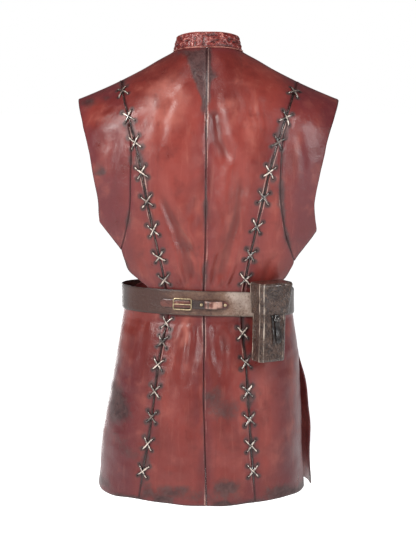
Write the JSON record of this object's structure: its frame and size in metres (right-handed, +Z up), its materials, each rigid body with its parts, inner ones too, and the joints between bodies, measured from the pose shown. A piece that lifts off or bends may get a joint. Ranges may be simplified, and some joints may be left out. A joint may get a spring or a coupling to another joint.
{
  "type": "leather vest",
  "caption": "Long sleeveless laced leather vest with a stand collar, worn under its own wide waist belt with a small belt pouch.",
  "frame": {"origin": "middle of the neck opening, level with the points where the neck edge meets the shoulder seams", "axes": "+Z up along the wearer's body, -Y the way the wearer faces, +X towards the wearer's left"},
  "size_m": [0.474, 0.2962, 0.8468],
  "materials": {
    "vest_leather": "red-brown oiled leather, satin, with grey-black wear along seams and hem",
    "thong_leather": "dark brown thong, rubbed shiny",
    "belt_leather": "grey-brown worn strap leather",
    "strap_leather": "red-brown polished strap leather",
    "brass_fittings": "aged brass",
    "pouch_leather": "dark brown moulded leather with pale rubbed edges"
  },
  "bodies": {
    "root": {"back_left": "vest_leather", "back_right": "vest_leather", "wing_left": "vest_leather", "wing_right": "vest_leather", "side_back_left": "vest_leather", "side_back_right": "vest_leather", "front_left": "vest_leather", "front_right": "vest_leather", "collar": "vest_leather", "lacing_upper_left": "thong_leather", "lacing_upper_right": "thong_leather", "lacing_skirt_left": "thong_leather", "lacing_skirt_right": "thong_leather", "pouch_strap": "thong_leather", "pouch_thong": "thong_leather", "pouch_knot": "thong_leather", "belt": "belt_leather", "buckle_strap": "strap_leather", "buckle_billet": "strap_leather", "strap_keeper": "strap_leather", "buckle_frame": "brass_fittings", "buckle_tongue": "brass_fittings", "stud_1": "brass_fittings", "stud_2": "brass_fittings", "pouch_body": "pouch_leather", "pouch_lid": "pouch_leather", "pouch_loop": "pouch_leather"}
  },
  "joints": []
}
